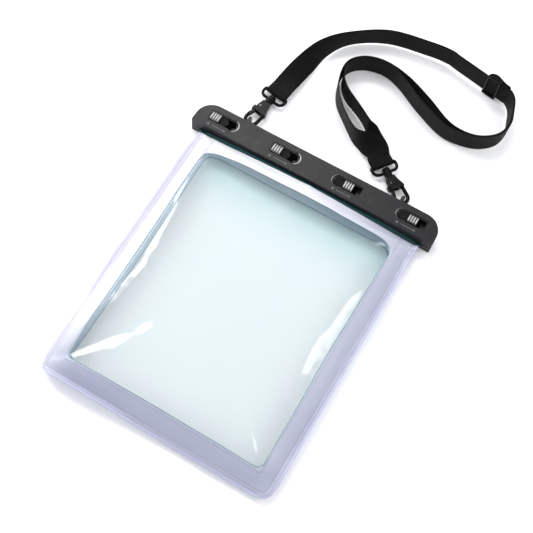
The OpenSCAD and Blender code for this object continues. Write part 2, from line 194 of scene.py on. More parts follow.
def clear_film(name, face_on, edge_on, haze):
    """Clear film: mostly see-through, deeper in tint towards the clamp and where it is seen at a slant,
    glossy, and with soft dents and fine ripples that bend the highlights."""
    s = Shader(name)
    where = s.where()
    along = s.math("DIVIDE", s.add("SeparateXYZ", {0: where}).outputs[1], MM)
    near = s.ramp(along, MOUTH_Y - 60, MOUTH_Y - BORDER_W)
    near = s.math("MULTIPLY", near, s.spread(s.noise(where, 28.0, 2.0), -0.1, 0.8))
    dents = s.noise(where, 24.0, 2.0)
    stretched = s.add("Mapping", {"Vector": where, "Scale": (3.2, 1.0, 1.0)}).outputs[0]
    streaks = s.noise(stretched, 36.0, 2.0)
    normal = s.bump(s.math("ADD", dents, s.math("MULTIPLY", streaks, 0.12)), 0.9 * MM)
    slant = s.math("POWER", s.add("LayerWeight", {"Blend": 0.5}).outputs["Facing"], 1.6)
    slant = s.add("Clamp", {0: s.math("ADD", slant, near)}).outputs[0]
    through = s.add("BsdfTransparent", {"Color": s.mix(slant, face_on, edge_on)})
    smear = s.spread(s.noise(where, 40.0), 0.05, 0.16)
    gloss = s.add("BsdfGlossy", {"Roughness": smear, "Normal": normal})
    milk = s.add("BsdfDiffuse", {"Color": rgb(0.82, 0.93, 0.95)})
    glance = s.add("LayerWeight", {"Blend": 0.5, "Normal": normal}).outputs["Facing"]
    rim = s.math("MULTIPLY_ADD", s.math("POWER", glance, 4.0), 0.8, 0.035)
    hazed = s.add("MixShader", {0: haze, 1: through.outputs[0], 2: milk.outputs[0]})
    both = s.add("MixShader", {0: rim, 1: hazed.outputs[0], 2: gloss.outputs[0]})
    return s.finish(both.outputs[0])


def milky_film(name, colour, cover):
    """Frosted welded border: pale, with fine weld lines at set distances from its outer edge (the
    "inset" attribute, in millimetres) and a satin sheen. It is darker towards the right and along the
    closed end: painted shade."""
    s = Shader(name)
    where = s.where()
    inset = s.add("Attribute", attribute_name="inset").outputs["Fac"]
    cloudy = s.noise(where, 34.0, 4.0)
    frost = s.noise(where, 1500.0, 2.0)
    dents = s.noise(where, 55.0, 2.0)
    weld = 0.0
    for distance, width in ((2.6, 0.35), (RIM_W, 0.5), (BORDER_W - 1.2, 0.35)):
        away = s.math("ABSOLUTE", s.math("SUBTRACT", inset, distance))
        weld = s.math("ADD", weld, s.ramp(away, 0.0, width, 1.0, 0.0))
    edge = s.ramp(inset, 0.0, 4.5, 1.0, 0.0)
    x, y = s.add("SeparateXYZ", {0: where}).outputs[:2]
    # Painted shade: darker towards the right and along the closed end, less so at the left corner.
    right = s.ramp(x, 0.0, 100 * MM, 0.0, 0.8)
    closed_end = s.ramp(y, -200 * MM, -245 * MM)
    left_corner = s.ramp(x, -105 * MM, -75 * MM, 0.4, 1.0)
    painted_shade = s.math("MAXIMUM", right, s.math("MULTIPLY", closed_end, left_corner))
    tint = s.mix(cloudy, shaded(colour, 0.93), colour)
    # Mixes in a darker, bluer copy of the colour as painted shade.
    tint = s.mix(painted_shade, tint, tinted(colour, 0.58, 0.605, 0.71))
    tint = s.mix(s.math("MULTIPLY", edge, 0.6), tint, tinted(colour, 0.8, 0.78, 0.95))
    tint = s.mix(s.math("MULTIPLY", weld, 0.4), tint, shaded(colour, 0.62))
    relief = s.math("ADD", s.math("MULTIPLY", frost, 0.02), dents)
    relief = s.math("SUBTRACT", relief, s.math("MULTIPLY", weld, 0.35))
    surface = s.add("BsdfPrincipled", {
        "Base Color": tint, "Roughness": s.spread(cloudy, 0.26, 0.42), "IOR": 1.45,
        "Subsurface Weight": 0.25, "Subsurface Radius": (0.003, 0.003, 0.004), "Coat Weight": 0.35,
        "Coat Roughness": 0.12, "Normal": s.bump(relief, 1.0 * MM),
    })
    glow = s.add("BsdfTranslucent", {"Color": tint})
    film = s.add("MixShader", {0: 0.3, 1: surface.outputs[0], 2: glow.outputs[0]})
    through = s.add("BsdfTransparent", {"Color": rgb(0.93, 0.94, 1.0)})
    both = s.add("MixShader", {0: cover, 1: through.outputs[0], 2: film.outputs[0]})
    return s.finish(both.outputs[0])


def woven(name, dark, light):
    """Plain-woven webbing. The UV map runs in millimetres: across the width, then along the length."""
    s = Shader(name)
    yarn_w, yarn_l = 1.15, 1.7
    uv = s.add("SeparateXYZ", {0: s.add("UVMap").outputs[0]})
    column = s.math("DIVIDE", uv.outputs[0], yarn_w)
    stagger = s.math("MULTIPLY", s.math("MODULO", s.math("FLOOR", column), 2.0), 0.5)
    row = s.math("ADD", s.math("DIVIDE", uv.outputs[1], yarn_l), stagger)

    def crown(value):
        """Height across one yarn: 1 in its middle and 0 at its edges."""
        turned = s.math("MULTIPLY", s.math("FRACT", value), 2.0)
        folded = s.math("ABSOLUTE", s.math("SUBTRACT", turned, 1.0))
        return s.math("SUBTRACT", 1.0, s.math("POWER", folded, 2.5))

    yarn = s.math("MULTIPLY", crown(column), crown(row))
    where = s.where()
    fibre = s.noise(where, 3000.0, 3.0)
    faded = s.noise(where, 45.0, 3.0)
    height = s.math("ADD", yarn, s.math("MULTIPLY", fibre, 0.25))
    tint = s.mix(s.math("MULTIPLY", yarn, s.spread(faded, 0.35, 1.0)), dark, light)
    body = s.add("BsdfPrincipled", {
        "Base Color": tint, "Roughness": 0.65, "Specular IOR Level": 0.15, "Sheen Weight": 0.02,
        "Normal": s.bump(height, 0.28 * MM),
    })
    return s.finish(body.outputs[0])


def spun(name, colour):
    """Sewing thread, with a fine twist along its length."""
    s = Shader(name)
    wave = {"Vector": s.where(), "Scale": 900.0, "Distortion": 1.5}
    twist = s.add("TexWave", wave).outputs["Fac"]
    body = s.add("BsdfPrincipled", {
        "Base Color": s.mix(twist, colour, shaded(colour, 1.8)),
        "Roughness": 0.6, "Normal": s.bump(twist, 0.05 * MM),
    })
    return s.finish(body.outputs[0])


def latch_plastic(name):
    """Glossy latch plastic, with painted shade: dull and black down in the window, where little light
    reaches.
    """
    s = Shader(name)
    where = s.where()
    height = s.math("DIVIDE", s.add("SeparateXYZ", {0: where}).outputs[2], MM)
    # Painted shade: darker and duller the deeper a point lies below the cover's face.
    well = s.ramp(s.math("SUBTRACT", COVER_TOP, height), 0.4, 1.9)
    fine = s.noise(where, 2200.0, 2.0)
    tint = s.mix(s.noise(where, 300.0), rgb(0.009, 0.009, 0.01), rgb(0.016, 0.016, 0.017))
    body = s.add("BsdfPrincipled", {
        "Base Color": s.mix(well, tint, rgb(0.001, 0.001, 0.001)),
        "Roughness": s.spread(well, 0.3, 0.8), "Specular IOR Level": s.spread(well, 0.5, 0.05),
        "Normal": s.bump(fine, 0.008 * MM),
    })
    return s.finish(body.outputs[0])


def steel(name, shade):
    """Blackened steel with fine scratches."""
    s = Shader(name)
    scratch = s.noise(s.where(), 800.0, 4.0)
    body = s.add("BsdfPrincipled", {
        "Base Color": rgb(shade, shade, shade * 1.05), "Metallic": 1.0,
        "Roughness": s.spread(scratch, 0.25, 0.45), "Normal": s.bump(scratch, 0.01 * MM),
    })
    return s.finish(body.outputs[0])


def floor_paint(name):
    """White floor without a shine, which would show as a grey band far away."""
    s = Shader(name)
    mottle = s.noise(s.where(), 3.0, 3.0)
    body = s.add("BsdfPrincipled", {
        "Base Color": s.mix(mottle, rgb(0.90, 0.90, 0.91), rgb(0.93, 0.93, 0.935)),
        "Roughness": 0.7, "Specular IOR Level": 0.0,
        "Emission Color": rgb(1.0, 1.0, 1.0), "Emission Strength": 0.06,
    })
    return s.finish(body.outputs[0])


MATERIALS = {
    "cover": moulded("cover_plastic", rgb(0.018, 0.018, 0.0195), 0.38, grain=0.05, worn=0.2, shine=0.22),
    "rail": moulded("rail_plastic", rgb(0.014, 0.014, 0.015), 0.42, grain=0.05, shine=0.35),
    "latch": latch_plastic("latch_plastic"),
    # Pale glossy plastic as a painted highlight, on the latch grips and the lips of latches 1 and 2.
    "gloss": moulded("painted_highlight_plastic", rgb(0.34, 0.34, 0.345), 0.2, grain=0.004, coat=1.0),
    "hook": moulded("hook_plastic", rgb(0.004, 0.004, 0.0045), 0.3, grain=0.02, shine=0.1),
    "adjuster": moulded("adjuster_plastic", rgb(0.005, 0.005, 0.0055), 0.26, grain=0.01, shine=0.18),
    "polish": moulded("polished_plastic", rgb(0.06, 0.06, 0.062), 0.15, grain=0.002, coat=1.0),
    "seal": moulded("seal_silicone", rgb(0.22, 0.27, 0.29), 0.5, grain=0.02),
    # Teal film at the clamp: the film's own teal, made darker as painted shade of the gap under the cover.
    "hem": moulded("hem_film_and_gap_shade", rgb(0.004, 0.045, 0.05), 0.2, grain=0.02, coat=0.6),
    "mark": moulded("mark_ink", rgb(0.10, 0.10, 0.105), 0.5, grain=0.02),
    "clear": clear_film("clear_film", rgb(0.988, 0.994, 0.995), rgb(0.87, 0.95, 0.955), 0.015),
    "bead": clear_film("weld_bead", rgb(0.62, 0.9, 0.93), rgb(0.25, 0.62, 0.68), 0.25),
    "border": milky_film("milky_border", rgb(0.925, 0.92, 0.955), 0.88),
    # The back border is paler and more see-through than the front one: painted light that lifts the shade
    # it lies in under the front border and the clamp.
    "border_back": milky_film("milky_border_back", rgb(0.9, 0.955, 0.96), 0.42),
    "webbing": woven("webbing", rgb(0.001, 0.001, 0.0011), rgb(0.007, 0.007, 0.0075)),
    "thread": spun("thread", rgb(0.012, 0.012, 0.013)),
    "steel": steel("pin_steel", 0.08),
    "floor": floor_paint("floor_paint"),
}


# ---------------------------------------------------------------- mesh helpers

UP = np.array([0.0, 0.0, 1.0])


def unit(v):
    return v / np.linalg.norm(v)


def loft_faces(count, sides, closed=False):
    """Faces that join rings of points in a row: a solid with two ends, or one closed to a loop."""
    faces = []
    for i in range(count if closed else count - 1):
        a, b = i * sides, (i + 1) % count * sides
        faces += [(a + j, a + (j + 1) % sides, b + (j + 1) % sides, b + j) for j in range(sides)]
    if not closed:
        last = (count - 1) * sides
        faces += [tuple(range(sides))[::-1], tuple(range(last, last + sides))]
    return faces


def swept(path, radii, sides, closed=False):
    """Points and faces of a round rod along a path, with its own radius at each point."""
    points, count = [], len(path)
    for i, spot in enumerate(path):
        if closed:
            ahead = unit(path[(i + 1) % count] - path[i - 1])
        else:
            ahead = unit(path[min(i + 1, count - 1)] - path[max(i - 1, 0)])
        side = unit(np.cross(UP, ahead))
        top = np.cross(ahead, side)
        for a in np.arange(sides) * 2 * math.pi / sides:
            points.append(spot + radii[i] * (math.cos(a) * side + math.sin(a) * top))
    return points, loft_faces(count, sides, closed)


def prism(outline, low, high):
    """Points and faces of a straight prism over a plan outline."""
    return [(x, y, z) for z in (low, high) for x, y in outline], loft_faces(2, len(outline))


def merged(shapes):
    """Several point and face lists as one."""
    points, faces = [], []
    for new_points, new_faces in shapes:
        first = len(points)
        points += list(new_points)
        faces += [tuple(first + i for i in face) for face in new_faces]
    return points, faces


def piece(name, points_mm, faces, material, body, slot, replaced=()):
    """A finished mesh in millimetres becomes an object that rides on a body."""
    mesh = bpy.data.meshes.new(name)
    mesh.from_pydata((np.asarray(points_mm) * MM).tolist(), [], faces)
    mesh.update()
    mesh.materials.append(MATERIALS[material])
    mesh.polygons.foreach_set("use_smooth", [True] * len(mesh.polygons))
    obj = bpy.data.objects.new(name, mesh)
    bpy.context.scene.collection.objects.link(obj)
    if body:
        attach(obj, body)
    if replaced:
        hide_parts(*replaced)
    return obj


def shade_flat(obj):
    obj.data.polygons.foreach_set("use_smooth", [False] * len(obj.data.polygons))


def apply_modifiers(obj):
    """Bakes every modifier of obj into a new mesh."""
    bpy.context.view_layer.update()
    depsgraph = bpy.context.evaluated_depsgraph_get()
    obj.data = bpy.data.meshes.new_from_object(obj.evaluated_get(depsgraph))
    obj.modifiers.clear()


# ---------------------------------------------------------------- pouch films


def half_width(y):
    """Half width of the pouch's outline at y, with the round corners of the closed end."""
    share = (MOUTH_Y - y) / (MOUTH_Y - END_Y)
    half = HALF_MOUTH + (HALF_END - HALF_MOUTH) * share
    near = y - END_Y
    if near < CORNER_R:
        half -= CORNER_R - math.sqrt(max(0.0, CORNER_R**2 - (CORNER_R - near) ** 2))
    return half


def lines(start, stop, bands):
    """Grid lines from start to stop: at the band distances from each end, and about CELL apart between."""
    inner = stop - start - 2 * bands[-1]
    count = max(1, round(inner / CELL))
    middle = [bands[-1] + inner * i / count for i in range(1, count)]
    return [start + d for d in bands + middle] + [stop - b for b in reversed(bands)]


def build_grid():
    """Flat grid of both films. Returns points, and per film a table of point numbers by row and column.
    The films share their points in the rim of the two sides and of the closed end."""
    rows = lines(END_Y, MOUTH_Y, EDGE_BANDS)
    columns = lines(-HALF_END, HALF_END, EDGE_BANDS)
    points, films = [], {"front": {}, "back": {}}
    for r, y in enumerate(rows):
        half = half_width(y)
        for c, x in enumerate(columns):
            inside = HALF_END - BORDER_W
            if abs(x) > inside:
                x_here = math.copysign(half - (HALF_END - abs(x)), x)
            else:
                x_here = x * (half - BORDER_W) / inside
            depth = min(half - abs(x_here), y - END_Y)
            welded = depth < RIM_W + 0.01
            swell = START_SWELL * min(1.0, max(0.0, depth - RIM_W) / SWELL_BAND)
            for film, side in (("front", 1), ("back", -1)):
                if welded and film == "back":
                    films["back"][r, c] = films["front"][r, c]
                    continue
                gap = 0.0 if welded else MOUTH_GAP * max(0.0, 1 - (MOUTH_Y - y) / MOUTH_BAND)
                films[film][r, c] = len(points)
                points.append((x_here, y, RIM_Z + side * (swell + gap)))
    return round_window(np.array(points)), films, len(rows), len(columns)


def round_window(points):
    """Draws the grid in round the window's four corners, so that its outline turns them smoothly."""
    moved = points.copy()
    closed_end = (END_Y + BORDER_W, 1, WINDOW_END_R)
    mouth = (MOUTH_Y - BORDER_W, -1, WINDOW_R)
    for y_corner, inward, radius in (closed_end, mouth):
        x_corner = half_width(y_corner) - BORDER_W
        for i, (x, y, _) in enumerate(points):
            u, v = x_corner - abs(x), (y - y_corner) * inward
            along = max(u, v, 0.0)
            if along > radius:
                continue
            away = math.hypot(u, v) if along == 0 else abs(min(u, v))
            turn = math.radians(45 * (1 - along / radius))
            across = radius * (1 - math.cos(turn))
            back = radius * (1 - math.sin(turn)) - along
            if u > v:
                across, back = back, across
            share = math.exp(-((away / ROUNDING_BAND) ** 2))
            moved[i, 0] -= math.copysign(across * share, x)
            moved[i, 1] += inward * back * share
    return moved


def film_faces(table, n_rows, n_cols, flip):
    """A film's faces, and the grid cell (row, column) of each."""
    faces, cells = [], []
    for r in range(n_rows - 1):
        for c in range(n_cols - 1):
            ring = [table[r, c], table[r, c + 1], table[r + 1, c + 1], table[r + 1, c]]
            faces.append(ring[::-1] if flip else ring)
            cells.append((r, c))
    return faces, cells


def inflate(points, faces, pinned, pushed):
    """Cloth simulation with pressure, pinned along the clamp. Returns the moved points."""
    mesh = bpy.data.meshes.new("film_cloth")
    mesh.from_pydata((points * MM).tolist(), [], faces)
    obj = bpy.data.objects.new("film_cloth", mesh)
    bpy.context.scene.collection.objects.link(obj)
    for group, members in (("pin", pinned), ("push", pushed)):
        obj.vertex_groups.new(name=group).add([int(i) for i in members], 1.0, "REPLACE")
    cloth = obj.modifiers.new("cloth", "CLOTH")
    settings = cloth.settings
    settings.vertex_group_mass = "pin"
    settings.quality = 8
    settings.mass = 0.12
    settings.tension_stiffness = 60.0
    settings.compression_stiffness = 60.0
    settings.shear_stiffness = 30.0
    settings.bending_stiffness = 0.6
    settings.tension_damping = 20.0
    settings.compression_damping = 20.0
    settings.use_pressure = True
    settings.uniform_pressure_force = 4.0
    settings.vertex_group_pressure = "push"
    settings.effector_weights.gravity = 0.0
    cloth.collision_settings.use_collision = False
    cloth.point_cache.frame_start, cloth.point_cache.frame_end = 1, CLOTH_FRAMES
    for step in range(1, CLOTH_FRAMES + 1):
        bpy.context.scene.frame_set(step)
    depsgraph = bpy.context.evaluated_depsgraph_get()
    moved = np.array([v.co for v in obj.evaluated_get(depsgraph).data.vertices]) / MM
    bpy.data.objects.remove(obj)
    bpy.context.scene.frame_set(1)
    return moved


def settle(points, moved):
    """Caps the swelling to the CAD's height, flattens the crown and rests the back film on the floor."""
    crown_bend, floor_bend = 1.5, 2.6  # higher makes that side of the pouch flatter
    rise = moved[:, 2] - RIM_Z
    up = np.clip(rise / max(rise.max(), 1e-6), 0.0, 1.0)
    down = np.clip(-rise / max(-rise.min(), 1e-6), 0.0, 1.0)
    crown = (CROWN_Z - RIM_Z) * (1 - (1 - up) ** crown_bend)
    belly = (RIM_Z - REST_Z) * np.tanh(floor_bend * down) / math.tanh(floor_bend)
    drift = moved[:, :2] - points[:, :2]
    far = np.linalg.norm(drift, axis=1, keepdims=True) + 1e-9
    free = np.array([[min(half_width(y) - abs(x), y - END_Y)] for x, y, _ in points])
    free = np.clip((free - RIM_W) / SWELL_BAND, 0.0, 1.0)
    settled = points.copy()
    settled[:, :2] += free * drift / far * MAX_DRIFT * np.tanh(far / (3 * MAX_DRIFT))
    settled[:, 2] = RIM_Z + crown - belly
    return settled


def dent(points):
    """Gentle dents and creases of soft film, fading out at the rim and at the clamp."""
    result = points.copy()
    for i, (x, y, z) in enumerate(points):
        depth = min(half_width(y) - abs(x), y - END_Y)
        from_mouth = MOUTH_Y - y
        free = min(1.0, max(0.0, depth - RIM_W) / 25.0) * min(1.0, from_mouth / 30.0)
        if z < RIM_Z:                      # the back film lies on the floor and dents less
            free *= 0.3 * min(1.0, max(0.0, z - 0.8))
        broad = noise.noise(Vector((x * 0.022, y * 0.03, 3.1)))
        creased = noise.noise(Vector((x * 0.05 + y * 0.012, y * 0.02, 9.4)))
        gathered = noise.noise(Vector((x * 0.11, y * 0.014, 2.7))) * math.exp(-from_mouth / 55.0)
        result[i, 2] += free * (1.5 * broad + 1.0 * creased + 1.8 * gathered)
        edge = math.exp(-max(0.0, depth) / 14.0) * min(1.0, from_mouth / 40.0)
        result[i, 2] += edge * 1.6 * noise.noise(Vector((x * 0.035, y * 0.035, 5.5)))
    return result


def split_film(name, points, faces, cells, keep, material, slot, replaced):
    """One film piece: the kept cells as a closed sheet of film thickness, smoothed once."""
    chosen = [f for f, cell in zip(faces, cells) if keep(*cell)]
    used = sorted({i for f in chosen for i in f})
    renumber = {old: new for new, old in enumerate(used)}
    local = [[renumber[i] for i in f] for f in chosen]
    obj = piece(name, points[used], local, material, None, slot, replaced)
    smooth = obj.modifiers.new("smooth", "SUBSURF")
    smooth.levels = smooth.render_levels = 1
    smooth.boundary_smooth = "ALL" if material == "clear" else "PRESERVE_CORNERS"
    shell = obj.modifiers.new("shell", "SOLIDIFY")
    shell.thickness = FILM_T * MM
    shell.offset = 1.0                     # grown outwards only
    apply_modifiers(obj)
    return obj


def window_loop(points, table, n_rows, n_cols, edge):
    """Points of the window's outline, in order."""
    last_row, last_col = n_rows - 1 - edge, n_cols - 1 - edge
    loop = [(edge, c) for c in range(edge, last_col)]
    loop += [(r, last_col) for r in range(edge, last_row)]
    loop += [(last_row, c) for c in range(last_col, edge, -1)]
    loop += [(r, edge) for r in range(last_row, edge, -1)]
    path = np.array([points[table[spot]] for spot in loop])
    for _ in range(2):
        path = 0.5 * path + 0.25 * np.roll(path, 1, axis=0) + 0.25 * np.roll(path, -1, axis=0)
    return path


def follow_clamp(obj):
    """Bakes a film piece's placement into its mesh and runs mouth_weights, which sets no weights, so the
    piece does not bend when the clamp's front half lifts.
    """
    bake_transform(obj)
    mouth_weights(obj)


def mark_inset(obj):
    """Stores each point's distance from the pouch's outer edge, in millimetres."""
    places = [(v.co.x / MM, v.co.y / MM) for v in obj.data.vertices]
    inset = [min(half_width(y) - abs(x), y - END_Y) for x, y in places]
    obj.data.attributes.new("inset", "FLOAT", "POINT").data.foreach_set("value", inset)


def mouth_weights(obj):
    """Reads each point's place in millimetres and the pouch's half width there. It sets no weights, so
    the films take no share of the clamp's lift."""
    co = np.array([v.co for v in obj.data.vertices]) / MM
    half = np.array([half_width(y) for y in co[:, 1]])


def build_bead(film, path):
    """Weld line round a window, just proud of the film."""
    path[:, 2] += 0.25 if film == "front" else 0.05
    bead = piece(
        f"pouch_{film}_bead", *swept(path, [BEAD_R] * len(path), 8, closed=True), "bead", None,
        "clear_film",
    )
    follow_clamp(bead)


def build_pouch():
    points, films, n_rows, n_cols = build_grid()
    front_faces, cells = film_faces(films["front"], n_rows, n_cols, False)
    back_faces, _ = film_faces(films["back"], n_rows, n_cols, True)
    welded = set(films["front"].values()) & set(films["back"].values())
    sheet = [f for f in back_faces if not set(f) <= welded]
    pinned = {films[k][n_rows - 1, c] for k in films for c in range(n_cols)}
    pushed = set(range(len(points))) - welded
    moved = inflate(points, front_faces + sheet, pinned, pushed)
    points = dent(settle(points, moved))
    n_edge = len(EDGE_BANDS) - 1
    lip_row = n_rows - 1 - EDGE_BANDS.index(LIP)

    def in_window(r, c):
        return n_edge <= r < n_rows - 1 - n_edge and n_edge <= c < n_cols - 1 - n_edge

    def in_border(r, c):
        return r < lip_row and not in_window(r, c)

    def in_lip(r, _):
        return r >= lip_row

    for film, faces, milky in (("front", front_faces, "border"), ("back", back_faces, "border_back")):
        for part, keep, material, slot, node in (
            ("window", in_window, "clear", "clear_film", "window"),
            ("border", in_border, milky, "milky_border", "border"),
            # The lip strip takes the dark hem film: its own teal, partly painted shade.
            ("lip", in_lip, "hem", "clear_film", "border"),
        ):
            obj = split_film(
                f"pouch_{film}_{part}", points, faces, cells, keep, material, slot, [f"{film}_{node}"]
            )
            mark_inset(obj)
            follow_clamp(obj)
    for film, table in films.items():
        build_bead(film, window_loop(points, table, n_rows, n_cols, n_edge))


# ---------------------------------------------------------------- strap

WEB_W = 20.0
WEB_T = 1.0
WRAP_R = 2.05                          # webbing's middle line round an eye's bar
EYE_BAR = 37.5                         # from the ear's cross bar to the eye's bar
EYE_BAR_Z = 4.5
FLAT_Z = EYE_BAR_Z + WRAP_R            # webbing that lies flat over an eye's bar
EDGE_Z = WEB_W / 2 + 0.9               # webbing on its edge, just above the floor
LAYER = 1.1                            # pitch of stacked layers
LOOP_R = 1.1 + WEB_T / 2               # sewn end's middle line round the adjuster's middle bar
STRAIGHT_FROM = np.array([60.0, 170.5])   # start of the straight stretch, where the adjuster slides
STRAIGHT_LEAN = math.radians(11)
STRAIGHT_DIR = np.array([math.cos(STRAIGHT_LEAN), -math.sin(STRAIGHT_LEAN)])
STRAIGHT_OUT = np.array([math.sin(STRAIGHT_LEAN), math.cos(STRAIGHT_LEAN)])
SLIDER_SPOT = 36.0                     # adjuster's middle along the straight stretch
SLIDER_Z = sum(corner[2] for corner in box_mm("strap_slider")) / 2
STEPS = 12                             # sections from one waypoint to the next
OPENING = 6 * STEPS                    # last sections, where the layers part to go round the right eye
BEND_GAP, HOOK_GAP = 6.0, 15.0         # widest gaps between the layers, in the bend and by that eye


def bar_spot(side, along):
    """A point along a hook's line, counted from the bar that holds the webbing."""
    place, axis = joint_axis(f"hook_{side}_swivel")
    return (place + (EYE_BAR + along) * axis)[:2]


def on_straight(along, out=0.0):
    return STRAIGHT_FROM + along * STRAIGHT_DIR + out * STRAIGHT_OUT


def way(spot, z, turn):
    """One waypoint of the strap: place, height, and 0 for flat webbing to 90 for webbing on its edge."""
    return np.array([spot[0], spot[1], z, turn], float)


OUTWARD = [
    way(bar_spot("left", 0), FLAT_Z, 0), way(bar_spot("left", 12), FLAT_Z, 0), way((-63, 95), 8.5, 30),
    way((-56, 121), 10.4, 65), way((-40, 144), EDGE_Z, 90), way((-10, 164), 11.5, 90),
    way((28, 171.5), 12.4, 90), way(on_straight(-12), SLIDER_Z, 90), way(on_straight(0), SLIDER_Z, 90),
    way(on_straight(50), SLIDER_Z, 90), way(on_straight(53), SLIDER_Z, 90),
]
BACKWARD = [
    way((118, 154), SLIDER_Z, 90), way((122, 143), 12.5, 90), way((125, 129), 12, 90),
    way((120, 113), 11.5, 90), way((103, 102), EDGE_Z, 90), way((80, 102), EDGE_Z, 90),
    way((52, 116), EDGE_Z, 90), way((26, 127), EDGE_Z, 90), way((2, 131), EDGE_Z, 90),
    way((-17, 126), EDGE_Z, 90), way((-28, 113), EDGE_Z, 90), way((-27, 95), EDGE_Z, 90),
    way((-19, 78), 11, 90), way((-4, 63), 11, 93), way((11, 52), 11, 86), way((23, 50.5), 10.6, 56),
    way(bar_spot("right", 14), 7.8, 18), way(bar_spot("right", 7), FLAT_Z, 0),
    way(bar_spot("right", 0), FLAT_Z, 0),
]


def spline(ways):
    """Smooth line through the waypoints."""
    line = []
    for i in range(len(ways) - 1):
        a, b = ways[max(i - 1, 0)], ways[i]
        c, d = ways[i + 1], ways[min(i + 2, len(ways) - 1)]
        for t in np.arange(STEPS) / STEPS:
            bend = (2 * a - 5 * b + 4 * c - d) * t**2 + (3 * b - a - 3 * c + d) * t**3
            line.append(b + 0.5 * ((c - a) * t + bend))
    line.append(ways[-1])
    return line


def sections_of(line):
    """(centre, width direction, normal, level direction to the left) at each point of the line."""
    found = []
    for i, p in enumerate(line):
        t = unit(line[min(i + 1, len(line) - 1)][:3] - line[max(i - 1, 0)][:3])
        left = unit(np.cross(UP, t))
        turn = math.radians(p[3])
        width = math.cos(turn) * left + math.sin(turn) * np.cross(t, left)
        found.append((p[:3], width, unit(np.cross(t, width)), left))
    return found


def half_turn(side, width, start, stop):
    """Sections round an eye's bar, from one side of it to the other."""
    centre = np.append(bar_spot(side, 0), EYE_BAR_Z)
    axis = joint_axis(f"hook_{side}_swivel")[1]
    turns = np.radians(start + (stop - start) * np.arange(1, 16) / 16)
    return [(centre + WRAP_R * (math.cos(a) * UP + math.sin(a) * axis), width) for a in turns]


def ribbon(name, sections, body, replaced):
    """Webbing with rounded selvedges swept through the sections. The UV map is in millimetres."""
    half_w, half_t = WEB_W / 2, WEB_T / 2
    across = [-1.0, -0.985, -0.94, -0.6, -0.2, 0.2, 0.6, 0.94, 0.985, 1.0]
    thick = [0.45, 0.8, 1.0, 1.0, 1.0, 1.0, 1.0, 1.0, 0.8, 0.45]
    ring = [(w * half_w, t * half_t) for w, t in zip(across, thick)]
    ring += [(w, -t) for w, t in reversed(ring)]
    points, lengths = [], [0.0]
    for i, (centre, width) in enumerate(sections):
        if i:
            lengths.append(lengths[-1] + np.linalg.norm(centre - sections[i - 1][0]))
        ahead = unit(sections[min(i + 1, len(sections) - 1)][0] - sections[max(i - 1, 0)][0])
        normal = unit(np.cross(ahead, width))
        points += [centre + w * width + t * normal for w, t in ring]
    n = len(ring)
    obj = piece(name, points, loft_faces(len(sections), n), "webbing", body, "webbing", replaced)
    bm = bmesh.new()
    bm.from_mesh(obj.data)
    bmesh.ops.recalc_face_normals(bm, faces=bm.faces)
    uv = bm.loops.layers.uv.new("weave")
    for face in bm.faces:
        for loop in face.loops:
            i = loop.vert.index
            loop[uv].uv = (ring[i % n][0] + half_w, lengths[i // n])
    bm.to_mesh(obj.data)
    bm.free()


def straight_section(along, out):
    """A section of webbing on its edge beside the straight stretch."""
    return np.append(on_straight(along, out), SLIDER_Z), UP


def strap_sections():
    """All sections of the long webbing, from its folded tail to its cut end beside the adjuster."""
    main = sections_of(spline(OUTWARD + BACKWARD))
    left_axis = joint_axis("hook_left_swivel")[1]
    left_width = unit(np.cross(UP, left_axis))
    tail = [
        (np.append(bar_spot("left", along), FLAT_Z - drop), left_width)
        for along, drop in ((22, LAYER), (16, LAYER), (10, LAYER + 0.2), (5, 2.4), (0, 2 * WRAP_R))
    ]
    last = len(main) - 1
    start_back = len(OUTWARD) * STEPS

    def hump(i, start, stop):
        """Rises from 0 to 1 and back between two sections."""
        return math.sin(math.pi * (i - start) / (stop - start)) ** 2 if start < i < stop else 0.0

    def beside(i):
        """The returning layer: close beside the main one, and hanging apart from it in two places."""
        centre, width, normal, left = main[i]
        share = max(0.0, (i - last + OPENING) / OPENING)
        close = LAYER + (2 * WRAP_R - LAYER) * share**2
        apart = BEND_GAP * hump(i, start_back + 4 * STEPS, start_back + 8 * STEPS)
        apart += HOOK_GAP * hump(i, last - 8 * STEPS, last - STEPS)
        return centre - close * normal + apart * left, width

    returning = [beside(i) for i in range(last, start_back - STEPS, -1)]
    ending = [straight_section(along, LAYER) for along in (45.0, 39.0, SLIDER_SPOT + 1)]
    return (
        tail + half_turn("left", left_width, -180, 0) + [m[:2] for m in main]
        + half_turn("right", main[last][1], 0, -180) + returning + ending
    )


def loop_sections():
    """The webbing's sewn end, folded round the adjuster's middle bar."""
    turns = np.radians(180 / 16 * np.arange(1, 16))
    path = [(16, 0), (13, 0), (9, 0), (4, 0), (0, 0)]
    path += [(-LOOP_R * math.sin(a), LOOP_R * (1 - math.cos(a))) for a in turns]
    path += [(0, 2 * LOOP_R), (4, 2 * LOOP_R - 0.4), (9, LAYER + 0.3), (12, LAYER), (15, LAYER)]
    return [straight_section(SLIDER_SPOT + p[0], 2 * LAYER + p[1]) for p in path]


def stitch(start, ahead, side, normal, length):
    """One stitch: thread that thins and dips into the webbing at both ends."""
    rings, sides, thread_r, arch, sunk, thinnest = 7, 8, 0.22, 0.16, 0.1, 0.35
    points = []
    for ring in range(rings):
        t = ring / (rings - 1)
        middle = start + ahead * t * length + normal * (arch * math.sin(math.pi * t) - sunk)
        swell = math.sin(math.pi * min(max(t, 0.08), 0.92))
        radius = thread_r * (thinnest + (1 - thinnest) * swell)
        for a in np.arange(sides) * 2 * math.pi / sides:
            points.append(middle + radius * (math.sin(a) * normal + math.cos(a) * side))
    return points, loft_faces(rings, sides)


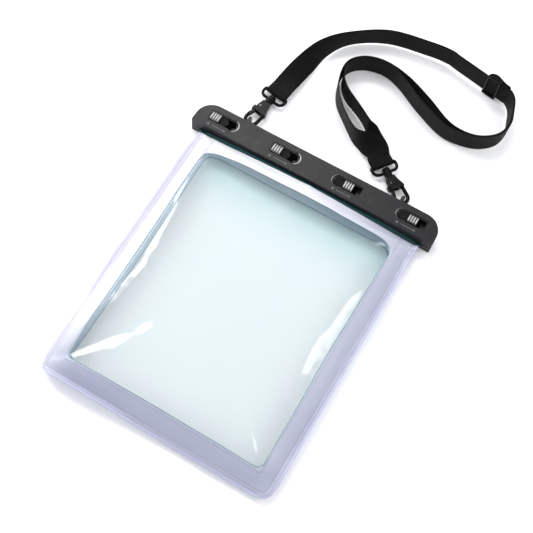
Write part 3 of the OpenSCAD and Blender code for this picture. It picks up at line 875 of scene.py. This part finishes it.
def stitches(name, seams, body):
    """Rows of thread. A seam is (start, end, face normal) in millimetres."""
    stitch_l, gap = 2.4, 0.9
    threads = []
    for start, end, normal in seams:
        run = np.linalg.norm(end - start)
        ahead = (end - start) / run
        count = max(1, int(run // (stitch_l + gap)))
        pitch = run / count
        for k in range(count):
            place = start + ahead * k * pitch
            threads.append(stitch(place, ahead, np.cross(ahead, normal), normal, pitch - gap))
    piece(name, *merged(threads), "thread", body, "webbing")


def box_stitch(corner, along, across, normal, length, width):
    """Four sides and a cross, as seams for stitches()."""
    a, b = corner, corner + along * length
    c, d = b + across * width, corner + across * width
    return [(p, q, normal) for p, q in ((a, b), (b, c), (c, d), (d, a), (a, c), (b, d))]


def build_strap():
    ribbon("strap_woven", strap_sections(), "pouch", ["strap_webbing"])
    ribbon("strap_loop_woven", loop_sections(), "strap_adjuster", ["strap_end_loop"])
    box_l, box_w, seam_l = 10.0, 16.0, 17.0
    axis = joint_axis("hook_left_swivel")[1]
    across = unit(np.cross(UP, axis))
    corner = np.append(bar_spot("left", 6.5), FLAT_Z + WEB_T / 2) - across * box_w / 2
    stitches("strap_stitching_left", box_stitch(corner, axis, across, UP, box_l, box_w), "pouch")
    out = np.append(STRAIGHT_OUT, 0.0)
    seams = []
    for along in (11.5, 13.8):
        spot = on_straight(SLIDER_SPOT + along, 3 * LAYER + WEB_T / 2)
        low = np.append(spot, SLIDER_Z - seam_l / 2)
        seams.append((low, low + seam_l * UP, out))
    stitches("strap_stitching_end", seams, "strap_adjuster")


# ---------------------------------------------------------------- rigid pieces

LATCH_PITCH = 61.5
LATCH_Y = 0.5
LATCH_WINDOW_L, LATCH_WINDOW_H = 25.0, 9.0   # window in the cover, with one round end
LATCH_BLOCK = -12.1                    # left end of the button from the window's middle
LATCH_TONGUE = 8.4                     # flat part of the button, left of the block in latches 3 and 4
RIB_HALF = 3.5                         # half length of a grip rib
SHARP = math.radians(35)               # edges that turn by more than this are rounded


def round_edges(obj, bevel, segments):
    """Rounded edges and even shading."""
    if bevel:
        edges = obj.modifiers.new("edges", "BEVEL")
        edges.width = bevel * MM
        edges.segments = segments
        edges.limit_method = "ANGLE"
        edges.angle_limit = SHARP
        edges.use_clamp_overlap = True
    smooth = obj.modifiers.new("weighted", "WEIGHTED_NORMAL")
    smooth.keep_sharp = True
    smooth.weight = 80


def refine(node, material, bevel):
    """A CAD piece keeps its mesh and gets rounded edges and a better finish."""
    obj = frame["nodes"][node]
    obj.data.materials.clear()
    obj.data.materials.append(MATERIALS[material])
    weld = obj.modifiers.new("weld", "WELD")
    weld.merge_threshold = 0.005 * MM
    round_edges(obj, bevel, 3)


def build_rigid():
    refine("front_cover", "cover", 0.5)
    refine("back_rail", "rail", 0.35)
    refine("front_rail", "rail", 0.15)
    refine("seal_gasket", "seal", 0)
    for n in range(1, 5):
        refine(f"latch_slider_{n}", "latch", 0.25)
    for side in ("left", "right"):
        refine(f"hook_{side}_body", "hook", 0.4)
        refine(f"hook_{side}_gate", "hook", 0.35)
        refine(f"hook_{side}_pin", "steel", 0.15)
        refine(f"hook_{side}_eye", "hook", 0.15)


def build_adjuster():
    """Tri-glide: two arched cheeks, two outer bars under the webbing and a raised one for its sewn end."""
    half_l, bar_r, mid_r, cheek_h, room, flare = 7.0, 0.9, 1.0, 1.8, 0.4, 0.35
    half_h = WEB_W / 2 + room + cheek_h
    low, high = -WEB_T / 2 - 0.1 - bar_r, 2 * LAYER + LOOP_R
    rise = high + mid_r - low

    def placed(x, out, z):
        return np.append(on_straight(SLIDER_SPOT + x, out), SLIDER_Z + z)

    turns = np.radians(np.linspace(0, 180, 29))
    arch = [(half_l * math.cos(a), low + rise * math.sin(a) ** 0.8) for a in turns]
    outer = half_l - bar_r
    arch += [(x, low - bar_r) for x in np.linspace(-outer, outer, 9)]
    shapes = []
    for z in (-half_h, half_h - cheek_h):
        points, faces = prism(arch, z, z + cheek_h)
        shapes.append(([placed(*p) for p in points], faces))
    levels = np.linspace(-half_h + 0.5, half_h - 0.5, 25)
    ring = [(math.cos(a), math.sin(a)) for a in np.arange(16) * math.pi / 8]
    for x, out, radius in ((-outer, low, bar_r), (outer, low, bar_r), (0.0, high, mid_r)):
        points = []
        for z in levels:
            r = radius * (1 + flare * abs(z / half_h) ** 8)
            points += [placed(x + r * u, out + r * v, z) for u, v in ring]
        shapes.append((points, loft_faces(len(levels), len(ring))))
    obj = piece(
        "strap_adjuster_frame", *merged(shapes), "adjuster", "strap_adjuster", "hook_plastic",
        ["strap_slider"],
    )
    round_edges(obj, 0.85, 4)


def build_hems():
    """Film inside the clamp's two halves, with embossed weld lines across its width."""
    line_depth, n_lines, rows = 0.12, 9, 33
    for side, body in (("front", "front_clamp"), ("back", "pouch")):
        low, high = box_mm(f"{side}_hem")
        ys = np.linspace(low[1], high[1], rows)
        thin = line_depth * np.cos(np.linspace(0, (n_lines - 1) * math.pi, rows)) ** 8
        outline = [(y, high[2] - t) for y, t in zip(ys, thin)] + [(y, low[2]) for y in ys[::-1]]
        points = [(x, y, z) for x in (high[0], low[0]) for y, z in outline]
        shade_flat(piece(
            f"film_hem_{side}", points, loft_faces(2, len(outline)), "hem", body, "clear_film",
            [f"{side}_hem"],
        ))


def build_latch_grip(n, block_x):
    """Four rounded ribs across the thumb block that starts at block_x, in pale plastic as a painted
    highlight.
    """
    places, rib_r, lift = (0.95, 3.25, 5.45, 7.75), 0.8, 0.3
    span = np.linspace(-RIB_HALF, RIB_HALF, 11)
    radii = rib_r * np.sqrt(np.clip(1.04 - (np.abs(span) / RIB_HALF) ** 6, 0.04, 1))
    ribs = []
    for along in places:
        path = np.array([(block_x + along, LATCH_Y + v, COVER_TOP + lift) for v in span])
        ribs.append(swept(path, radii, 10))
    piece(f"latch_grip_{n}", *merged(ribs), "gloss", f"latch_{n}", "latch_plastic")


def build_latch_lip(n, middle, towards):
    """Crescent round a window's round end, partly sunk into the cover: pale as a painted highlight at
    latches 1 and 2, and dark at 3 and 4."""
    sunk, tip_r, swell = 0.18, 0.12, 0.55
    lip_r = LATCH_WINDOW_H / 2 + 1.5
    centre = middle + towards * (LATCH_WINDOW_L / 2 - LATCH_WINDOW_H / 2 + 0.9)
    arc = np.radians(np.linspace(-72, 72, 25))
    path = np.array([
        (centre + towards * lip_r * math.cos(a), LATCH_Y + lip_r * math.sin(a), COVER_TOP - sunk)
        for a in arc
    ])
    lip = swept(path, tip_r + swell * np.cos(arc), 10)
    # Latches 1 and 2 get the pale plastic as a painted highlight; 3 and 4 the dark polished one.
    piece(f"latch_lip_{n}", *lip, "gloss" if n < 3 else "polish", "front_clamp", "cover_plastic")


def build_latch_mark(n, middle):
    """Printed slide mark: an arrow and a square."""
    mark_y, sunk, proud = -8.4, 0.05, 0.06
    shaft = [(-7.0, -0.3), (4.5, -0.3), (4.5, 0.3), (-7.0, 0.3)]
    head = [(4.6, -1.1), (7.2, 0.0), (4.6, 1.1)]
    square = [(-11.2, -1.0), (-9.2, -1.0), (-9.2, 1.0), (-11.2, 1.0)]
    marks = []
    for outline in (shaft, head, square):
        placed = [(middle + x, mark_y + y) for x, y in outline]
        marks.append(prism(placed, COVER_TOP - sunk, COVER_TOP + proud))
    shade_flat(piece(f"latch_mark_{n}", *merged(marks), "mark", "front_clamp", "cover_plastic"))


def build_latch_details():
    """Grip, lip and mark of each latch. A window's round end faces the middle of the clamp."""
    for n in range(1, 5):
        middle = (n - 2.5) * LATCH_PITCH
        towards = 1 if n < 3 else -1       # side of the round window end
        block_x = middle + LATCH_BLOCK + (0 if towards > 0 else LATCH_TONGUE)
        build_latch_grip(n, block_x)
        build_latch_lip(n, middle, towards)
        build_latch_mark(n, middle)


# ---------------------------------------------------------------- studio


def build_floor():
    half, below = 6.0, 0.2 * MM
    mesh = bpy.data.meshes.new("studio_floor")
    corners = [(-half, -half, 0), (half, -half, 0), (half, half, 0), (-half, half, 0)]
    mesh.from_pydata(corners, [], [(0, 1, 2, 3)])
    mesh.materials.append(MATERIALS["floor"])
    floor = bpy.data.objects.new("studio_floor", mesh)
    floor.location.z = -below
    bpy.context.scene.collection.objects.link(floor)


def aim(obj, target, roll=0.0):
    """Points a light or camera at a place, turned by roll degrees about its line of sight."""
    direction = Vector(target) - obj.location
    turn = direction.to_track_quat("-Z", "Y")
    obj.rotation_mode = "QUATERNION"
    obj.rotation_quaternion = turn @ Quaternion((0, 0, 1), math.radians(roll))


def softbox(name, place, target, size, power):
    """Rectangular light. Places and sizes are in metres, and power is in watts."""
    light = bpy.data.lights.new(name, "AREA")
    light.shape = "RECTANGLE"
    light.size, light.size_y = size
    light.energy = power
    obj = bpy.data.objects.new(name, light)
    obj.location = place
    bpy.context.scene.collection.objects.link(obj)
    aim(obj, target)
    return obj


def spare_windows(light):
    """Keeps a light off the clear windows, where it would show as broad white patches."""
    spared = bpy.data.collections.new("spared_windows")
    for name in ("pouch_front_window", "pouch_back_window"):
        spared.objects.link(bpy.data.objects[name])
    light.light_linking.receiver_collection = spared
    for item in spared.collection_objects:
        item.light_linking.link_state = "EXCLUDE"


def build_world():
    """Even white room. Reflections see it dimmer, which keeps black plastic black, and the camera
    sees it brighter."""
    in_reflections, camera_extra = 0.22, 0.2
    world = bpy.data.worlds.new("studio")
    bpy.context.scene.world = world
    world.use_nodes = True
    tree = world.node_tree
    back = tree.nodes["Background"]
    back.inputs["Color"].default_value = rgb(0.97, 0.98, 1.0)
    rays = tree.nodes.new("ShaderNodeLightPath")
    dim = tree.nodes.new("ShaderNodeMapRange")
    dim.inputs["To Min"].default_value = 1.0
    dim.inputs["To Max"].default_value = in_reflections
    tree.links.new(rays.outputs["Is Glossy Ray"], dim.inputs["Value"])
    seen = tree.nodes.new("ShaderNodeMath")
    seen.operation = "MULTIPLY_ADD"
    seen.inputs[1].default_value = camera_extra
    tree.links.new(rays.outputs["Is Camera Ray"], seen.inputs[0])
    tree.links.new(dim.outputs[0], seen.inputs[2])
    tree.links.new(seen.outputs[0], back.inputs["Strength"])


def build_lights():
    centre = (0, -0.05, 0)
    spare_windows(softbox("key_light", (-0.45, 0.74, 1.3), centre, (0.6, 0.22), 7))
    softbox("left_light", (-0.95, 0.2, 0.75), centre, (0.3, 0.8), 7)
    softbox("side_light", (0.9, 0.3, 0.8), centre, (0.2, 0.7), 2.5)
    softbox("low_left_light", (-0.95, 0.5, 0.2), centre, (0.5, 0.25), 2.5)


def build_camera():
    camera = bpy.data.cameras.new("camera")
    camera.lens = 62.5
    camera.sensor_width = 36.0
    obj = bpy.data.objects.new("camera", camera)
    bpy.context.scene.collection.objects.link(obj)
    obj.location = (0.1252, -0.3921, 0.6986)
    aim(obj, (0.006, -0.0942, 0.0), roll=8.6)
    bpy.context.scene.camera = obj
    bpy.context.scene.view_settings.view_transform = "Standard"


build_pouch()
build_strap()
build_rigid()
build_adjuster()
build_hems()
build_latch_details()
build_floor()
build_world()
build_lights()
build_camera()
